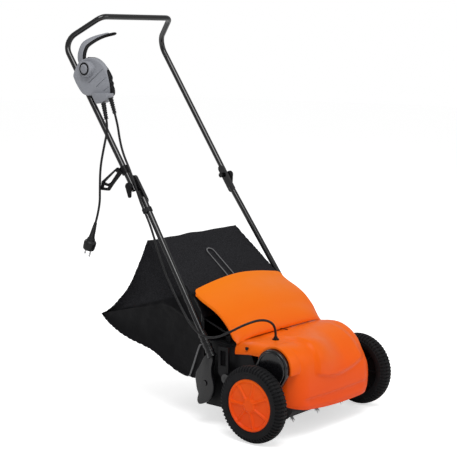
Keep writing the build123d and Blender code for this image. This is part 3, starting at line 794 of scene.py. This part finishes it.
# ---- belt cover ----
def tombstone(r_top, r_low, steps=28):
    """Outline around two circles, motor and reel, as (Y, Z) points."""
    dy, dz = MOTOR[0] - REEL[0], MOTOR[1] - REEL[1]
    gap = math.hypot(dy, dz)
    lean = math.atan2(dz, dy)
    tip = math.acos((r_top - r_low) / gap)
    points = []
    for k in range(steps + 1):
        a = lean - tip + 2 * tip * k / steps
        points.append((MOTOR[0] + r_top * math.cos(a), MOTOR[1] + r_top * math.sin(a)))
    for k in range(steps + 1):
        a = lean + tip + (2 * math.pi - 2 * tip) * k / steps
        points.append((REEL[0] + r_low * math.cos(a), REEL[1] + r_low * math.sin(a)))
    return points


def make_belt_cover():
    cover = cutter(tombstone(.048, .042), -.2010, -.1855)
    bevel(cover, 0.004, 4, 50)
    step = cutter(tombstone(.043, .037), -.2058, -.1990)
    bevel(step, 0.0016, 3, 50)
    cut(cover, step, "UNION")
    cut(cover, cylinder(MOTOR, 0.038, -.210, -.2032))
    cut(cover, cutter(tombstone(.0455, .0395), -.2005, -.1800))
    ring = cylinder(MOTOR, 0.048, -.1870, -.1500)
    cut(ring, cutter([(-.45, .177), (-.45, .30), (-.25, .30), (-.25, .177)], -.25, 0), "INTERSECT")
    cut(cover, ring, "UNION")
    cut(cover, cylinder(MOTOR, 0.0455, -.1950, -.1400))
    bevel(cover, 0.0005, 2, 60)
    smooth(cover, 40)
    place_piece(cover, "belt_cover", "chassis", BLACK_GLOSS, "black_shell", "belt_cover")


# ---- switch box and lever ----
BOSS = (0.297, 0.929)
BOX_FACE = curve_through([
    (.328, .945), (.3075, .9567), (.285, .9587), (.2664, .9504), (.2514, .9377), (.242, .9188), (.2355, .898),
    (.232, .881), (.231, .8638), (.237, .861), (.259, .860), (.283, .857), (.302, .856), (.313, .859), (.3225, .868),
    (.3337, .885), (.341, .900), (.344, .9104), (.3375, .9295), (.328, .945)])
BOX_BACK = curve_through([
    (.3195, .9610), (.290, .9587), (.2655, .9455), (.2485, .9304), (.235, .9133), (.2310, .905), (.2325, .898),
    (.2270, .891), (.2285, .884), (.2240, .876), (.2240, .860), (.236, .853), (.260, .853), (.300, .854),
    (.325, .866), (.338, .890), (.342, .912), (.338, .940), (.330, .953), (.3195, .9610)])
FACE_LEAN = 0.30        # the box's face turns toward the front by this much


def box_outline(shape, inset=0.0, steps=100):
    middle = (0.285, 0.910)
    points = []
    for k in range(steps):
        y, z = shape(k / steps)
        size = math.hypot(y - middle[0], z - middle[1])
        points.append((y - (y - middle[0]) / size * inset, z - (z - middle[1]) / size * inset))
    return points


def make_switch_box():
    front = cutter(box_outline(BOX_FACE), -.2225, -.1805)
    bevel(front, 0.006, 4, 60)
    for (y0, z0), (y1, z1) in (((.2515, .929), (.2954, .8904)), ((.242, .9066), (.272, .8804)),
                               ((.2346, .881), (.2515, .869))):
        run = math.hypot(y1 - y0, z1 - z0)
        u, w = (y1 - y0) / run * 0.0016, (z1 - z0) / run * 0.0016
        cut(front, cutter([(y0 + w, z0 - u), (y1 + w, z1 - u), (y1 - w, z1 + u), (y0 - w, z0 + u)], -.2300, -.2185))
    for v in front.data.vertices:
        v.co.x = -0.1805 + (v.co.x + 0.1805) * (1 - FACE_LEAN * (0.344 - v.co.y) / 0.042)
    boss = cylinder(BOSS, 0.0215, -.2225, -.2000)
    bevel(boss, 0.002, 3, 60)
    cut(front, boss, "UNION")
    cut(front, cylinder(BOSS, 0.0150, -.2300, -.2140))
    cut(front, cylinder(BOSS, 0.0132, -.2300, -.2100))
    nose = cutter([(.284, .864), (.281, .854), (.268, .8345), (.242, .838), (.221, .850), (.220, .864)],
                  -.2100, -.1850)
    bevel(nose, 0.002, 2, 30)
    cut(front, nose, "UNION")
    smooth(front, 40)
    place_piece(front, "switch_box_front", "upper_handle", GREY, "grey_plastic", "switch_box_front")
    back = cutter(box_outline(BOX_BACK), -.1885, -.1755)
    bevel(back, 0.003, 3, 60)
    smooth(back, 40)
    place_piece(back, "switch_box_back", "upper_handle", BLACK_SHELL, "black_shell", "switch_box_back")
    button = cylinder(BOSS, 0.0130, -.2265, -.2145, 48)
    bevel(button, 0.004, 5, 60)
    smooth(button, 40)
    place_piece(button, "lock_button", "lock_button", GREY, "grey_plastic", "lock_button")
    ring = cylinder(BOSS, 0.0178, -.2234, -.2222, 64)
    cut(ring, cylinder(BOSS, 0.0133, -.2300, -.2100))
    place_piece(ring, "button_seat", "upper_handle", BLACK_SHELL, "black_shell")
    bpy.ops.mesh.primitive_cube_add(size=1, location=(-.1915, .276, .890))
    inner = bpy.context.object
    inner.scale = (.010, .026, .022)
    bpy.ops.object.transform_apply(location=True, rotation=True, scale=True)
    modify(inner, "BEVEL", width=0.001, segments=2)
    place_piece(inner, "microswitch_body", "upper_handle", BLACK_SHELL, "black_shell", "microswitch")


LEVER_LINE = curve_through([
    (-.1950, .299, .926), (-.1955, .322, .939), (-.1940, .338, .953), (-.1890, .342, .974), (-.178, .339, .996),
    (-.154, .330, 1.011), (-.128, .316, 1.021), (-.102, .291, 1.029)])


def lever_surface(half, aside, thick, last):
    """A flat rounded bar along the lever: its half width, its shift toward the inner side, and where it ends."""
    def where(around, share):
        along = share * last
        at = Vector(LEVER_LINE(along))
        ahead = (Vector(LEVER_LINE(min(along + 0.02, 1.0))) - Vector(LEVER_LINE(max(along - 0.02, 0.0)))).normalized()
        # the wide side looks out to the right at the box and turns toward the front along the bar
        face = Vector((-1, 0, 0)).lerp(Vector((-0.25, -0.45, 0.85)), ease(along, 0.40, 0.80))
        face = (face - ahead * face.dot(ahead)).normalized()
        wide = ahead.cross(face)
        a = around * 2 * math.pi
        c, s = math.cos(a), math.sin(a)
        close = math.sqrt(max(0.0, 1 - ((share - 0.95) / 0.05) ** 2)) if share > 0.95 else 1.0
        return (at + wide * (aside(along) + math.copysign(abs(c) ** 0.6, c) * half(along) * close)
                + face * (math.copysign(abs(s) ** 0.7, s) * thick * close))
    return where


def make_lever():
    def band(t):
        return 0.0120 - 0.0080 * ease(t, 0.30, 0.95)

    def edge(t):
        return 0.0040 - 0.0014 * ease(t, 0.40, 1.0)
    pieces = (("switch_lever", GREY, "grey_plastic", lever_surface(band, lambda t: 0.0, 0.0040, 0.90)),
              ("lever_edge", BLACK_SHELL, "black_shell",
               lever_surface(edge, lambda t: band(t) + edge(t) - 0.0015, 0.0046, 1.0)))
    for name, look, slot, where in pieces:
        bar = grid(40, 90, where)
        capped(bar)
        smooth(bar, 45)
        place_piece(bar, name, "switch_lever", look, slot)
        if name == "switch_lever":
            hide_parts("switch_lever")


# ---- sleeves, plug and knobs ----
def make_sleeves():
    parts = []
    for a, b in (((-.205, .241, .836), (-.210, .226, .795)), ((-.204, .214, .852), (-.200, .203, .810))):
        path = curve_through([a, b])
        parts.append(turned(path, lambda t: (0.0064 - 0.0014 * t + 0.0007 * math.copysign(1, math.sin(t * 44))
                                             + 0.0012 * ease(t, 0.93, 1.0)), 28, 90))
    sleeves = joined(parts)
    place_piece(sleeves, "lead_sleeves", "upper_handle", SHEATH, "black_shell", "strain_reliefs")


def make_plug():
    top, end = Vector((-.212, .272, .505)), Vector((-.212, .30231, .42788))
    path = curve_through([tuple(top), tuple(end)])
    shape = curve_through([(0.0, .0043), (.10, .0052), (.30, .0068), (.50, .0082), (.57, .0092), (.60, .0108),
                           (.66, .0125), (.72, .0168), (.76, .0176), (.86, .0174), (.95, .0168), (1.0, .0160)])

    def radius(t):
        # the table above is by share of the length; find it by stepping
        low, high = 0.0, 1.0
        for _ in range(24):
            middle = (low + high) / 2
            low, high = (middle, high) if shape(middle)[0] < t else (low, middle)
        rib = -0.0008 * (math.sin(t * 95) > 0.2) * (0.06 < t < 0.52)
        return shape(low)[1] + rib
    plug = turned(path, radius, 48, 110)
    bevel(plug, 0.0006, 2, 60)
    smooth(plug, 40)
    place_piece(plug, "mains_plug", "upper_handle", SHEATH, "black_shell", "plug")


def make_knob(name, side):
    joint = (0.1415, 0.616)
    points = []
    for k in range(25):
        a = math.radians(-10 + 200 * k / 24)
        points.append((joint[0] + 0.0105 * math.cos(a), joint[1] + 0.0105 * math.sin(a)))
    for k in range(13):
        a = math.radians(200 + 130 * k / 12)
        points.append((joint[0] - 0.004 + 0.0052 * math.cos(a), joint[1] - 0.026 + 0.0052 * math.sin(a)))
    knob = cutter(points, side * 0.2085, side * 0.2158)
    bevel(knob, 0.0022, 4, 40)
    hub = cylinder(joint, 0.009, side * 0.2036, side * 0.2172, 40)
    bevel(hub, 0.0012, 3, 60)
    cut(knob, hub, "UNION")
    cut(knob, cylinder(joint, 0.0042, side * 0.200, side * 0.2080, 32))
    smooth(knob, 40)
    place_piece(knob, f"joint_knob_{name}", f"joint_knob_{name}", BLACK_SHELL, "black_shell", f"joint_knob_{name}")


# ---- handle brackets ----
LEAF = curve_through([
    (-.102, .113), (-.100, .128), (-.104, .146), (-.117, .166), (-.131, .190), (-.143, .1985), (-.157, .196),
    (-.161, .183), (-.157, .165), (-.1565, .148), (-.162, .128), (-.164, .108), (-.157, .088), (-.146, .074),
    (-.135, .066), (-.122, .060), (-.112, .0585), (-.107, .064), (-.1065, .074), (-.110, .086), (-.105, .098),
    (-.102, .113)])


def make_bracket(name, side):
    """Leaf plate with a ribbed socket that takes the foot of a handle tube."""
    foot, top = Vector((side * .2102, -.1563, .191)), Vector((side * .2062, -.1148, .2515))
    plate = cutter([LEAF(k / 72) for k in range(72)], side * .2023, side * .2160)
    bevel(plate, 0.003, 3, 60)
    pivot = cylinder((-.134, .119), 0.0080, side * .2150, side * .2178, 36)
    bevel(pivot, 0.001, 2, 60)
    rings = 5
    socket = turned(curve_through([tuple(foot), tuple(top)]),
                    lambda t: 0.0112 + 0.0012 * (math.sin(t * rings * 2 * math.pi) > 0.3), 40, 90)
    bracket = joined([plate, pivot, socket])
    smooth(bracket, 40)
    place_piece(bracket, f"handle_bracket_{name}", "chassis", BLACK_GLOSS, "black_shell", f"handle_bracket_{name}")


make_camera()
make_studio()
make_plug()
make_leads()
make_hood()
make_flap()
make_bag()
make_bag_strap()
make_bag_binding("bag_binding_left", 0.1868)
make_bag_binding("bag_binding_right", -0.1868)
for side_name, side in (("left", 1), ("right", -1)):
    make_tyre(side_name, side)
    make_cap(side_name, side)
    make_knob(side_name, side)
    make_bracket(side_name, side)
make_belt_cover()
make_switch_box()
make_lever()
make_sleeves()
